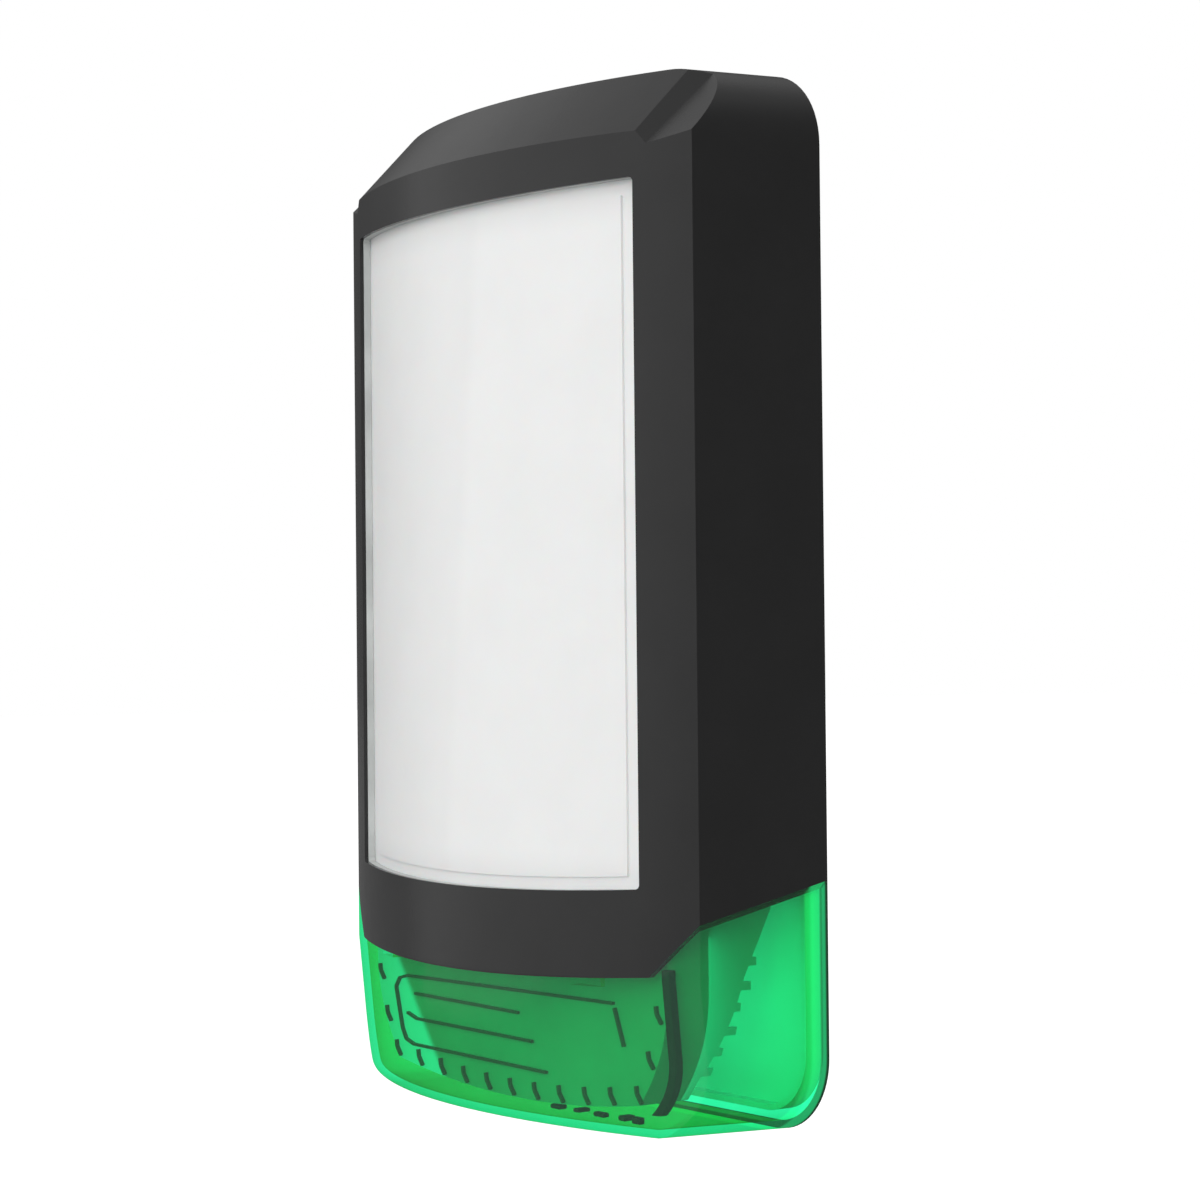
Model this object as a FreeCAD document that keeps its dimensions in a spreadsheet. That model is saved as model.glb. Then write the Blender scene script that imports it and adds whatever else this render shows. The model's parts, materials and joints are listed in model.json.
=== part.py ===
"""External alarm sounder: a wall-mounted case with a curved black cover, a lit opal panel,
a green strobe lens and the sounder, board, battery and tamper switches inside.

Millimetres.  Origin: the middle of the outline on the wall face.  +Z up, the wall is the plane
y = 0, the front looks along -Y and +X is to the right of someone facing the front.
"""
import FreeCAD, Part
import math
import os
import re
from FreeCAD import Placement, Rotation, Vector

doc = FreeCAD.newDocument("alarm_sounder")
sheet = doc.addObject("Spreadsheet::Sheet", "Sizes")

SIZES = {
    # case outline and wall
    "half_width": 101.0,          # at the rear edge of the cover
    "half_height": 167.75,        # at the rear edge of the cover
    "rear_gap": 1.5,              # rear edge of the cover to the wall
    "side_depth": 49.3,           # rear edge to the vertical front corner
    "corner_half_width": 99.2,    # at the vertical front corner
    "bulge": 24.5,                # rise of the curved front over its corners
    "end_slope": 0.035,           # draft of the top and bottom walls
    "corner_round": 25.0,         # corner radius seen from the front
    "wall": 2.6,                  # thickness of cover and lens
    "lip": 1.3,                   # cover thickness round the opening, in front of the seal
    "form_depth": 82.0,           # depth of the block the case is shaped from
    # front shape above and below the vertical part
    "chamfer_start": 144.4,       # height where the top chamfer begins
    "chamfer_slope": 0.91,        # set-back per millimetre of height
    "taper_start": -116.2,        # height where the lens begins to lean back
    "taper_slope": 0.087,
    "lens_round": 7.5,            # radius between lens front and bottom
    # opening for the lit panel
    "panel_half_width": 80.4,
    "panel_top": 129.5,
    "panel_bottom": -91.0,
    "panel_top_sag_radius": 3515.0,
    "panel_bottom_sag_radius": 1295.0,
    "panel_corner_round": 1.5,
    "panel_recess": 4.0,
    "panel_thick": 3.0,
    "panel_lap": 5.6,             # panel hidden behind the cover, each side
    "pad_inset": 7.0,             # raised middle of the panel
    "pad_end_inset": 4.0,
    "pad_height": 0.8,
    "seal_gap": 0.1,
    # joint between cover and lens
    "split_z": -118.15,
    "split_sag_radius": 1230.0,
    # tray behind the panel
    "tray_rear": -47.2,
    "tray_wall": 2.0,
    "tray_side_gap": 1.6,
    "tray_ear_x": 90.0,
    "tray_ear_top": 116.0,
    "tray_ear_bottom": -76.0,
    "boss_radius": 4.0,
    "small_screw_radius": 1.45,
    "small_screw_hole": 1.5,
    "small_head_radius": 3.0,
    "small_head_height": 2.0,
    "tray_screw_shank": 5.6,
    "lens_screw_shank": 5.0,
    "strip_half_gap": 42.0,
    "strip_width": 9.0,
    "board_thick": 1.6,
    "led_side": 3.5,
    "led_height": 1.3,
    # hinge
    "hinge_y": -24.0,
    "hinge_z": 159.55,
    "hinge_x": 60.0,
    "knuckle_half_width": 4.0,
    "knuckle_radius": 3.4,
    "arm_width": 6.0,
    "arm_gap": 0.5,
    "arm_radius": 3.2,
    "pin_radius": 1.5,
    "pin_bore": 1.55,
    "arm_root_top": 134.0,
    "arm_root_bottom": 118.0,
    "bracket_foot_thick": 4.0,
    # back plate
    "plate_half_width": 96.3,
    "plate_top": 146.0,
    "plate_bottom": -161.5,
    "plate_thick": 3.0,
    "plate_round": 20.0,
    "rim_depth": 7.0,
    "rim_thick": 2.0,
    "rim_top": 130.0,
    "fix_half_x": 80.0,
    "fix_top": 115.0,
    "fix_bottom": -85.0,
    "fix_hole": 2.75,
    "fix_boss": 6.5,
    "fix_boss_height": 3.0,
    "hang_z": 130.0,
    "cable_x": -40.0,
    "cable_z": 12.0,
    "cable_hole": 10.0,
    # circuit board
    "board_left": -8.0,
    "board_right": 72.0,
    "board_low": -20.0,
    "board_high": 100.0,
    "board_y": -11.0,
    "board_hole_inset": 5.0,
    # sounder
    "horn_x": -42.0,
    "horn_z": 70.0,
    "horn_radius": 28.0,
    "horn_depth": 30.0,
    "horn_wall": 2.0,
    "disc_radius": 20.0,
    # battery
    "cell_radius": 7.2,
    "cell_length": 50.0,
    "cell_pitch": 14.6,
    "cell_low": -92.0,
    "cell_left": -66.0,
    "cell_y": -12.5,
    # spirit level
    "level_z": 112.0,
    "level_half_length": 20.0,
    "vial_radius": 4.0,
    # tamper switches
    "tamper_x": 60.0,
    "tamper_z": 88.0,
    "wall_tamper_x": 48.0,
    "wall_tamper_z": -36.0,
    "switch_width": 6.4,
    "switch_height": 10.0,
    "plunger_radius": 1.6,
    "plunger_cap_radius": 3.0,
    "plunger_cap_height": 1.2,
    "wall_tamper_proud": 1.2,     # stands out of the wall face until the case is fixed
    # strobe unit
    "housing_half_width": 84.4,
    "housing_side_turn": -120.0,  # height where its sides begin to curve in
    "housing_side_drop": 36.0,    # height over which they come in by the lean
    "housing_side_lean": 14.4,
    "housing_top": -96.0,
    "housing_bottom": -162.0,
    "housing_sag_radius": 450.0,  # arc of its lower edge
    "housing_front": -52.0,
    "housing_wall": 2.0,
    "housing_screw_z": -105.0,
    "housing_screw_shank": 9.0,
    "strobe_board_rear": -44.4,
    "ridge_height": 1.2,
    "ridge_thick": 0.9,
    "rib_x": 87.2,
    "rib_thick": 2.4,
    "rib_inset": 2.75,            # rib front, just behind the lens
    "rib_back_inset": 5.3,
    "rib_turn_z": -141.0,         # height where the rib begins to turn inwards
    "rib_turn_radius": 27.0,
    "rib_foot": -158.5,
    "rib_rear": -47.5,
    # cover screw at the bottom
    "screw_y": -16.0,
    "screw_radius": 2.4,
    "screw_hole": 2.6,
    "screw_head_radius": 3.9,
    "screw_pocket": 4.3,
    "screw_pocket_top": -162.9,
    "screw_boss_radius": 7.0,
    "screw_boss_top": -159.5,
    "tongue_low": -158.2,
    "tongue_thick": 4.0,
}

for row, (alias, value) in enumerate(SIZES.items(), start=1):
    sheet.set("A%d" % row, alias)
    sheet.set("B%d" % row, str(value))
    sheet.setAlias("B%d" % row, alias)
doc.recompute()

ALIAS = re.compile(r"\b(%s)\b" % "|".join(sorted(SIZES, key=len, reverse=True)))


def size(alias):
    """Value of a sheet cell, for shapes that are made directly."""
    return float(sheet.get(alias))


def bind(obj, prop, expression):
    """Tie one property to an expression in which sheet aliases stand on their own."""
    obj.setExpression(prop, ALIAS.sub(r"Sizes.\1", str(expression)))


def place(obj, base):
    for axis, expression in zip("xyz", base):
        bind(obj, "Placement.Base." + axis, expression)


def box(name, low, high):
    """Box between two corners, each given as three expressions."""
    obj = doc.addObject("Part::Box", name)
    for prop, start, end in zip(("Length", "Width", "Height"), low, high):
        bind(obj, prop, "(%s) - (%s)" % (end, start))
    place(obj, low)
    return obj


TURN = {
    "x": Rotation(Vector(0, 1, 0), 90),
    "y": Rotation(Vector(1, 0, 0), -90),
    "z": Rotation(),
}


def cylinder(name, axis, start, radius, length):
    """Cylinder that starts at a point and runs along +X, +Y or +Z."""
    obj = doc.addObject("Part::Cylinder", name)
    bind(obj, "Radius", radius)
    bind(obj, "Height", length)
    obj.Placement = Placement(Vector(), TURN[axis])
    place(obj, start)
    return obj


def cone(name, low, radius_low, radius_high, height):
    obj = doc.addObject("Part::Cone", name)
    bind(obj, "Radius1", radius_low)
    bind(obj, "Radius2", radius_high)
    bind(obj, "Height", height)
    place(obj, low)
    return obj


def fuse(name, *shapes):
    obj = doc.addObject("Part::MultiFuse", name)
    obj.Shapes = list(shapes)
    obj.Refine = True
    return obj


def common(name, *shapes):
    obj = doc.addObject("Part::MultiCommon", name)
    obj.Shapes = list(shapes)
    return obj


def cut(name, base, *tools):
    obj = doc.addObject("Part::Cut", name)
    obj.Base = base
    obj.Tool = tools[0] if len(tools) == 1 else fuse(name + "_tools", *tools)
    return obj


def mirror(name, source):
    """Copy of an object on the other side of the plane x = 0."""
    obj = doc.addObject("Part::Mirroring", name)
    obj.Source = source
    obj.Base = Vector(0, 0, 0)
    obj.Normal = Vector(1, 0, 0)
    return obj


def both_sides(name, source):
    return fuse(name, source, mirror(name + "_mirror", source))


def fillet(name, base, radius, wanted):
    """Round the edges of base that a test accepts."""
    doc.recompute()
    obj = doc.addObject("Part::Fillet", name)
    obj.Base = base
    edges = base.Shape.Edges
    obj.Edges = [(i + 1, radius, radius) for i, edge in enumerate(edges) if wanted(edge)]
    return obj


def along_y(edge):
    box_of_edge = edge.BoundBox
    return box_of_edge.YLength > 3 * max(box_of_edge.XLength, box_of_edge.ZLength)


def made(name, shape):
    """Feature whose shape is made directly, for forms that no primitive gives."""
    obj = doc.addObject("Part::Feature", name)
    obj.Shape = shape
    return obj


def group(name, shapes):
    """One feature that holds several separate equal pieces."""
    return made(name, Part.makeCompound(shapes))


parts = {}


def part(node, obj):
    """Declare an object as the sub-part with this name."""
    obj.Label = node
    parts[node] = obj


# ---------------------------------------------------------------- case envelope

FRONT_RADIUS = "(corner_half_width^2 + bulge^2) / (2 * bulge)"
AXIS_Y = "(%s - rear_gap - side_depth - bulge)" % FRONT_RADIUS
SIDE_SLOPE = "((half_width - corner_half_width) / side_depth)"


def block(name, inset, rear, extra_width):
    """Tapered block: full size at its rear plane, smaller towards the front."""
    obj = doc.addObject("Part::Wedge", name)
    front = "(0 - rear_gap - form_depth)"
    for suffix, plane in (("", front), ("2", rear)):
        run = "(%s + rear_gap)" % plane
        half_x = "(half_width - %s + %s + %s * %s)" % (inset, extra_width, SIDE_SLOPE, run)
        half_z = "(half_height - %s + end_slope * %s)" % (inset, run)
        bind(obj, "X%smin" % suffix, "0 - " + half_x)
        bind(obj, "X%smax" % suffix, half_x)
        bind(obj, "Z%smin" % suffix, "0 - " + half_z)
        bind(obj, "Z%smax" % suffix, half_z)
    bind(obj, "Ymin", front)
    bind(obj, "Ymax", rear)
    return obj


def offset_height(slope, inset):
    """How far the start of a sloped band moves when its surface is set inwards."""
    return "(%s * (sqrt(1 + %s^2) - 1) / %s)" % (inset, slope, slope)


def front_form(name, inset):
    """Body of revolution about a vertical axis: taper, upright part and top chamfer."""
    radius = "(%s - %s)" % (FRONT_RADIUS, inset)
    low = "(taper_start + %s)" % offset_height("taper_slope", inset)
    high = "(chamfer_start - %s)" % offset_height("chamfer_slope", inset)
    bottom = "(0 - half_height - 10)"
    rise = "(half_height + 10 - %s)" % high
    drop = "(%s - %s)" % (low, bottom)
    taper = cone(name + "_taper", ("0", AXIS_Y, bottom),
                 "%s - taper_slope * %s" % (radius, drop), radius, drop)
    upright = cylinder(name + "_upright", "z", ("0", AXIS_Y, low), radius, "%s - %s" % (high, low))
    chamfer = cone(name + "_chamfer", ("0", AXIS_Y, high),
                   radius, "%s - chamfer_slope * %s" % (radius, rise), rise)
    return fuse(name, taper, upright, chamfer)


def envelope(name, inset, rear):
    """Solid of the closed case, set inwards by inset and ending at the plane y = rear."""
    rounded = common(name + "_front", block(name + "_wide", inset, rear, "15"),
                     front_form(name + "_form", inset))

    def bottom_front(edge):
        span = edge.BoundBox
        return span.XLength > 150 and span.ZMax < size("taper_start") and span.YMin < -40

    inset_value = size(inset) if inset in SIZES else float(inset)
    rounded = fillet(name + "_lower_round", rounded, size("lens_round") - inset_value, bottom_front)
    corners = fillet(name + "_corners", block(name + "_block", inset, rear, "0"),
                     size("corner_round") - inset_value, along_y)
    return common(name, rounded, corners)


def corner_notch(name, depth):
    """Wedge taken off the top front corner, where the chamfer turns into the side.

    Its two faces meet in the valley line, and depth sets both of them further into the case.
    """
    tip = Vector(84.9, -57.4, 140.45)
    valley = Vector(1.0, 20.5, 19.0)
    inner_wall = Vector(-3.7, -1.6, 4.55)
    floor = Vector(14.4, 6.6, 2.5)
    axis = Vector(valley).normalize()
    start = tip - valley * 0.5
    for face_edge in (inner_wall, floor):
        across = face_edge - axis * face_edge.dot(axis)
        start -= across.normalize() * depth
    ring = [start, start + inner_wall * 3, start + inner_wall * 3 + floor * 3, start + floor * 3]
    face = Part.Face(Part.makePolygon(ring + ring[:1]))
    return made(name, face.extrude(valley * 2.2))


shell = cut("shell", envelope("outer", "0", "(0 - rear_gap)"), envelope("inner", "wall", "2"))


# ---------------------------------------------------------------- cover, lens and lit panel

def half_space_below(name):
    """Space under the sloping part of the cover's edge, at one side of the case."""
    corner = Vector(81.5, -58.9, -117.0)
    front_edge = Vector(99.2, -50.8, -98.85)
    rear_edge = Vector(101.0, -1.5, -87.65)
    normal = (front_edge - corner).cross(rear_edge - front_edge)
    ring = []
    for x, y in ((70, -90), (115, -90), (115, 5), (70, 5)):
        drop = (normal.x * (x - corner.x) + normal.y * (y - corner.y)) / normal.z
        ring.append(Vector(x, y, corner.z - drop))
    face = Part.Face(Part.makePolygon(ring + ring[:1]))
    return made(name, face.extrude(Vector(0, 0, -120)))


def sag_cylinder(name, lowest, radius):
    """Large cylinder along Y whose underside is the gentle arc of a horizontal edge."""
    return cylinder(name, "y", ("0", "-90", "%s + %s" % (lowest, radius)), radius, "100")


def bulge_cylinder(name, inset):
    """Cylinder that follows the curved front, set inwards by inset."""
    return cylinder(name, "z", ("0", AXIS_Y, "-200"), "%s - (%s)" % (FRONT_RADIUS, inset), "400")


below_front = cut("below_front", box("below_box", ("-130", "-90", "-200"), ("130", "5", "-105")),
                  sag_cylinder("split_arc", "split_z", "split_sag_radius"))
lens_space = fuse("lens_space", below_front, both_sides("lens_sides", half_space_below("lens_side")))

opening_blank = box("opening_box",
                    ("0 - panel_half_width", "-90", "panel_bottom - 1"),
                    ("panel_half_width", "-40", "panel_top + 4"))
opening_low = common("opening_low", opening_blank,
                     sag_cylinder("opening_low_arc", "panel_bottom", "panel_bottom_sag_radius"))
opening = cut("opening", opening_low,
              sag_cylinder("opening_top_arc", "panel_top", "panel_top_sag_radius"))
opening_tool = fillet("opening_tool", opening, size("panel_corner_round"), along_y)

hinge_side = {}
for side, sign in (("right", "+"), ("left", "-")):
    centre = "(0 %s hinge_x)" % sign
    low_x = "%s - knuckle_half_width" % centre
    eye = cylinder("eye_" + side, "x", (low_x, "hinge_y", "hinge_z"), "knuckle_radius",
                   "2 * knuckle_half_width")
    web = box("web_" + side, (low_x, "hinge_y - knuckle_radius", "hinge_z"),
              ("%s + knuckle_half_width" % centre, "hinge_y + knuckle_radius", "half_height - 2"))
    hinge_side[side] = (eye, web)
knuckles = fuse("knuckles", *hinge_side["right"], *hinge_side["left"])
pin_bores = [cylinder("pin_bore_" + side, "x",
                      ("(0 %s hinge_x) - 6" % sign, "hinge_y", "hinge_z"), "pin_bore", "12")
             for side, sign in (("right", "+"), ("left", "-"))]

EARS = [(sx, ear) for sx in ("+", "-") for ear in ("tray_ear_top", "tray_ear_bottom")]
posts = []
post_bores = []
for number, (sx, ear) in enumerate(EARS):
    spot = ("0 %s tray_ear_x" % sx, "tray_rear - tray_wall", ear)
    posts.append(cylinder("post_%d" % number, "y",
                          (spot[0], "-66", ear), "boss_radius", "66 + tray_rear - tray_wall"))
    post_bores.append(cylinder("post_bore_%d" % number, "y",
                               (spot[0], "tray_rear - tray_screw_shank - 0.3", ear),
                               "small_screw_hole", "12"))
bosses = common("bosses", fuse("posts", *posts), doc.getObject("outer"))

LENS_TABS = ("-58", "58")
HOUSING_SCREWS = ("-38", "38")
TAB_FRONT = "-63.6"
tab_bores = [cylinder("tab_bore_%d" % i, "y",
                      (x, "%s + 2.4 - lens_screw_shank" % TAB_FRONT, "-108"),
                      "small_screw_hole", "12") for i, x in enumerate(LENS_TABS)]
tab_bosses = common("tab_bosses", doc.getObject("outer"),
                    fuse("tab_posts", *[cylinder("tab_post_%d" % i, "y", (x, "-72", "-108"), "4",
                                                 "72 + (%s)" % TAB_FRONT)
                                        for i, x in enumerate(LENS_TABS)]))

housing_posts = [cylinder("housing_post_%d" % i, "y", (x, "-80", "housing_screw_z"), "boss_radius",
                          "80 + housing_front - seal_gap") for i, x in enumerate(HOUSING_SCREWS)]
housing_bosses = common("housing_bosses", doc.getObject("outer"), fuse("housing_post_pair", *housing_posts))
housing_bores = [cylinder("housing_bore_%d" % i, "y",
                          (x, "housing_front + housing_wall - housing_screw_shank - 0.3",
                           "housing_screw_z"), "small_screw_hole", "12")
                 for i, x in enumerate(HOUSING_SCREWS)]

notches = both_sides("notches", corner_notch("notch", 0.0))
notch_backs = both_sides("notch_backs", corner_notch("notch_back", size("wall")))
notch_walls = cut("notch_walls", common("notch_blanks", doc.getObject("outer"), notch_backs), notches)
rebate_box = box("rebate_box",
                 ("0 - panel_half_width - panel_lap - seal_gap", "-80",
                  "panel_bottom - panel_lap - seal_gap"),
                 ("panel_half_width + panel_lap + seal_gap", "-40", "panel_top + panel_lap + seal_gap"))
rebate = common("rebate", rebate_box, bulge_cylinder("rebate_front", "lip"))
cover_shell = cut("cover_shell", shell, lens_space, opening_tool, notches, rebate)
cover_whole = fuse("cover_whole", cover_shell, notch_walls, knuckles, bosses, tab_bosses, housing_bosses)
part("cover", cut("cover_body", cover_whole, *pin_bores, *post_bores, *tab_bores, *housing_bores))

lens_shell = common("lens_shell", shell, lens_space)
tabs = [box("tab_%d" % i, ("%s - 6" % x, "%s + 0.1" % TAB_FRONT, "-119.5"),
            ("%s + 6" % x, "%s + 2.7" % TAB_FRONT, "-103")) for i, x in enumerate(LENS_TABS)]
tab_feet = [box("tab_foot_%d" % i, ("%s - 6" % x, "-74", "-119.5"),
                ("%s + 6" % x, "%s + 2.7" % TAB_FRONT, "-117.0")) for i, x in enumerate(LENS_TABS)]
tabs_inside = common("tabs_inside", fuse("tabs", *tabs), bulge_cylinder("tab_limit", "wall + seal_gap"))
feet_inside = common("feet_inside", fuse("tab_feet", *tab_feet), doc.getObject("outer"))
tab_holes = [cylinder("tab_hole_%d" % i, "y", (x, "%s - 2" % TAB_FRONT, "-108"), "1.7", "8")
             for i, x in enumerate(LENS_TABS)]
screw_boss = common("screw_boss", doc.getObject("outer"),
                    cylinder("screw_boss_post", "z", ("0", "screw_y", "-170"),
                             "screw_boss_radius", "170 + screw_boss_top"))
screw_bore = cylinder("screw_bore", "z", ("0", "screw_y", "-172"), "screw_hole", "20")
screw_pocket = cylinder("screw_pocket_cut", "z", ("0", "screw_y", "-172"), "screw_pocket",
                        "172 + screw_pocket_top")
lens_whole = fuse("lens_whole", lens_shell, tabs_inside, feet_inside, screw_boss)
part("lens", cut("lens_body", lens_whole, screw_bore, screw_pocket, *tab_holes))

panel_blank = box("panel_box", ("0 - panel_half_width - panel_lap", "-80", "panel_bottom - panel_lap"),
                  ("panel_half_width + panel_lap", "-40", "panel_top + panel_lap"))
panel_sheet = cut("panel_sheet",
                  common("panel_front", panel_blank, bulge_cylinder("panel_outer", "panel_recess")),
                  bulge_cylinder("panel_inner", "panel_recess + panel_thick"))
pad_box = box("pad_box", ("0 - panel_half_width + pad_inset", "-80", "panel_bottom + pad_end_inset"),
              ("panel_half_width - pad_inset", "-55", "panel_top - pad_end_inset"))
pad_arc = sag_cylinder("pad_arc", "panel_bottom + pad_end_inset", "panel_bottom_sag_radius")
pad = cut("pad", common("pad_front", pad_box, pad_arc,
                        bulge_cylinder("pad_outer", "panel_recess - pad_height")),
          bulge_cylinder("pad_inner", "panel_recess + 1"))
part("panel", fuse("panel_body", panel_sheet, pad))

seal_blank = box("seal_box", ("0 - panel_half_width - panel_lap", "-80", "panel_bottom - panel_lap"),
                 ("panel_half_width + panel_lap", "-40", "panel_top + panel_lap"))
seal_front = common("seal_front", seal_blank, bulge_cylinder("seal_outer", "lip + seal_gap"))
part("panel_seal", cut("panel_seal_body", seal_front,
                       bulge_cylinder("seal_inner", "panel_recess - seal_gap"), opening_tool))

tray_low = ("0 - panel_half_width - tray_side_gap", "-80", "panel_bottom - tray_side_gap")
tray_high = ("panel_half_width + tray_side_gap", "tray_rear", "panel_top + tray_side_gap")
tray_blank = common("tray_front", box("tray_box", tray_low, tray_high),
                    bulge_cylinder("tray_outer", "panel_recess + panel_thick + seal_gap"))
tray_hollow = box("tray_hollow", ["%s + tray_wall" % v if v != "-80" else "-81" for v in tray_low],
                  ["%s - tray_wall" % v for v in tray_high])
ears = [box("ear_%d" % i, ("0 %s tray_ear_x - 5" % sx, "tray_rear - tray_wall", "%s - 5" % ear),
            ("0 %s tray_ear_x + 5" % sx, "tray_rear", "%s + 5" % ear))
        for i, (sx, ear) in enumerate(EARS)]
links = [box("ear_link_%d" % i,
             ("0 %s tray_ear_x - 9" % sx, "tray_rear - tray_wall", "%s - 4" % ear),
             ("0 %s tray_ear_x + 9" % sx, "tray_rear", "%s + 4" % ear))
         for i, (sx, ear) in enumerate(EARS)]
inner_links = common("inner_links", fuse("links", *links),
                     box("link_limit", ("-92", "-60", "-100"), ("92", "-40", "140")))
ear_holes = [cylinder("ear_hole_%d" % i, "y", ("0 %s tray_ear_x" % sx, "-54", ear), "1.7", "10")
             for i, (sx, ear) in enumerate(EARS)]
tamper_post = cylinder("tamper_post", "y", ("tamper_x", "tray_rear - 0.5", "tamper_z"), "3",
                       "0 - tray_rear - 28.4")
tray_whole = fuse("tray_whole", cut("tray_shell", tray_blank, tray_hollow), inner_links,
                  fuse("ears", *ears), tamper_post)
part("backlight_tray", cut("tray_body", tray_whole, *ear_holes))


def screw(name, start, direction, shank, head_radius=None, head_height=None):
    """Small pan-head screw: its head sits at the start, its shank runs along the direction."""
    head_radius = head_radius or size("small_head_radius")
    head_height = head_height or size("small_head_height")
    head = Part.makeCylinder(head_radius, head_height, start, direction * -1)
    top = start - direction * head_height
    slot = Part.makeBox(2 * head_radius * 0.7, 0.7, 0.9, Vector(-head_radius * 0.7, -0.35, -0.9))
    cross = slot.fuse(slot.rotated(Vector(), Vector(0, 0, 1), 90))
    cross.Placement = Placement(top, Rotation(Vector(0, 0, 1), direction * -1))
    stem = Part.makeCylinder(size("small_screw_radius"), shank, start, direction)
    return head.cut(cross).fuse(stem).removeSplitter()


FRONTWARD = Vector(0, -1, 0)
REARWARD = Vector(0, 1, 0)
tray_screw_spots = [(sx * size("tray_ear_x"), size(ear)) for sx in (1, -1)
                    for ear in ("tray_ear_top", "tray_ear_bottom")]
part("tray_screws", group("tray_screw_set", [
    screw("tray_screw", Vector(x, size("tray_rear"), z), FRONTWARD, size("tray_screw_shank"))
    for x, z in tray_screw_spots]))
part("lens_screws", group("lens_screw_set", [
    screw("lens_screw", Vector(float(x), float(TAB_FRONT) + 2.7, -108.0), FRONTWARD,
          size("lens_screw_shank")) for x in LENS_TABS]))

strips = [box("strip_" + side,
              ("(0 %s strip_half_gap) - strip_width / 2" % sign,
               "tray_rear - tray_wall - board_thick", "-80"),
              ("(0 %s strip_half_gap) + strip_width / 2" % sign, "tray_rear - tray_wall", "120"))
          for side, sign in (("right", "+"), ("left", "-"))]
part("backlight_boards", fuse("backlight_board_pair", *strips))

led = size("led_side")
led_base = size("tray_rear") - size("tray_wall") - size("board_thick")
LED_ROWS = 10
LED_PITCH = 21.0
part("backlight_leds", group("backlight_led_set", [
    Part.makeBox(led, size("led_height"), led,
                 Vector(sx * size("strip_half_gap") - led / 2, led_base - size("led_height"),
                        20 + (row - (LED_ROWS - 1) / 2) * LED_PITCH - led / 2))
    for sx in (1, -1) for row in range(LED_ROWS)]))

rib_upright = box("rib_upright", ("rib_x - rib_thick", "-80", "rib_turn_z"),
                  ("rib_x", "rib_rear", "split_z + 5"))
rib_centre = ("rib_x - rib_turn_radius", "-80", "rib_turn_z")
rib_disc = cylinder("rib_disc", "y", rib_centre, "rib_turn_radius", "80 + rib_rear")
rib_core = cylinder("rib_core", "y", rib_centre, "rib_turn_radius - rib_thick", "80 + rib_rear")
rib_quarter = box("rib_quarter", ("rib_x - rib_turn_radius", "-80", "rib_foot"),
                  ("rib_x", "rib_rear", "rib_turn_z"))
rib_turn = common("rib_turn", cut("rib_ring", rib_disc, rib_core), rib_quarter)
rib_band = fuse("rib_band", rib_upright, rib_turn)
rib_front = common("rib_front", rib_band, envelope("rib_form", "rib_inset", "0"))
part("lens_rib", cut("rib", rib_front, envelope("rib_back_form", "rib_back_inset", "2")))


# ---------------------------------------------------------------- back plate

def square_to_wall(edge):
    span = edge.BoundBox
    return span.YLength > 1 and span.XLength < 0.1 and span.ZLength < 0.1


plate_box = box("plate_box", ("0 - plate_half_width", "0 - plate_thick", "plate_bottom"),
                ("plate_half_width", "0", "plate_top"))
plate_blank = fillet("plate_blank", plate_box, size("plate_round"), square_to_wall)
rim_outer = fillet("rim_outer", box("rim_box", ("0 - plate_half_width", "0 - rim_depth", "plate_bottom"),
                                    ("plate_half_width", "0 - plate_thick", "plate_top + 40")),
                   size("plate_round"), square_to_wall)
rim_inner = fillet("rim_inner", box("rim_hollow",
                                    ("rim_thick - plate_half_width", "-20", "plate_bottom + rim_thick"),
                                    ("plate_half_width - rim_thick", "0", "plate_top + 40")),
                   size("plate_round") - size("rim_thick"), square_to_wall)
rim = common("rim", cut("rim_ring", rim_outer, rim_inner),
             box("rim_limit", ("-120", "-30", "-200"), ("120", "1", "rim_top")))

arms = []
arm_bores = []
bracket_holes = []
plate_screw_holes = []
for side, sign in (("right", "+"), ("left", "-")):
    centre = "(0 %s hinge_x)" % sign
    half_span = "(knuckle_half_width + arm_gap + arm_width)"
    for end, offset in (("inner", "0 - " + half_span), ("outer", "knuckle_half_width + arm_gap")):
        low_x = "%s + %s" % (centre, offset)
        high_x = low_x + " + arm_width"
        name = side + "_" + end
        arms.append(cylinder("arm_head_" + name, "x", (low_x, "hinge_y", "hinge_z"),
                             "arm_radius", "arm_width"))
        arms.append(box("arm_post_" + name, (low_x, "hinge_y - arm_radius", "arm_root_bottom"),
                        (high_x, "hinge_y + arm_radius", "hinge_z")))
        arms.append(box("arm_root_" + name, (low_x, "hinge_y - arm_radius", "arm_root_bottom"),
                        (high_x, "0 - plate_thick", "arm_root_top")))
        arm_bores.append(cylinder("arm_bore_" + name, "x", (low_x + " - 1", "hinge_y", "hinge_z"),
                                  "pin_radius + 0.03", "arm_width + 2"))
    foot_low = ("%s - %s" % (centre, half_span), "0 - plate_thick - bracket_foot_thick", "arm_root_bottom")
    foot_high = ("%s + %s" % (centre, half_span), "0 - plate_thick", "arm_root_top")
    arms.append(box("bracket_foot_" + side, foot_low, foot_high))
    middle = "(arm_root_bottom + arm_root_top) / 2"
    bracket_holes.append(cylinder("bracket_hole_" + side, "y", (centre, "-20", middle), "1.7", "18"))
    plate_screw_holes.append(cylinder("plate_screw_hole_" + side, "y", (centre, "-4", middle),
                                      "small_screw_hole", "6"))
part("hinge_brackets", cut("hinge_bracket_pair", fuse("bracket_arms", *arms), *arm_bores, *bracket_holes))

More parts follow.
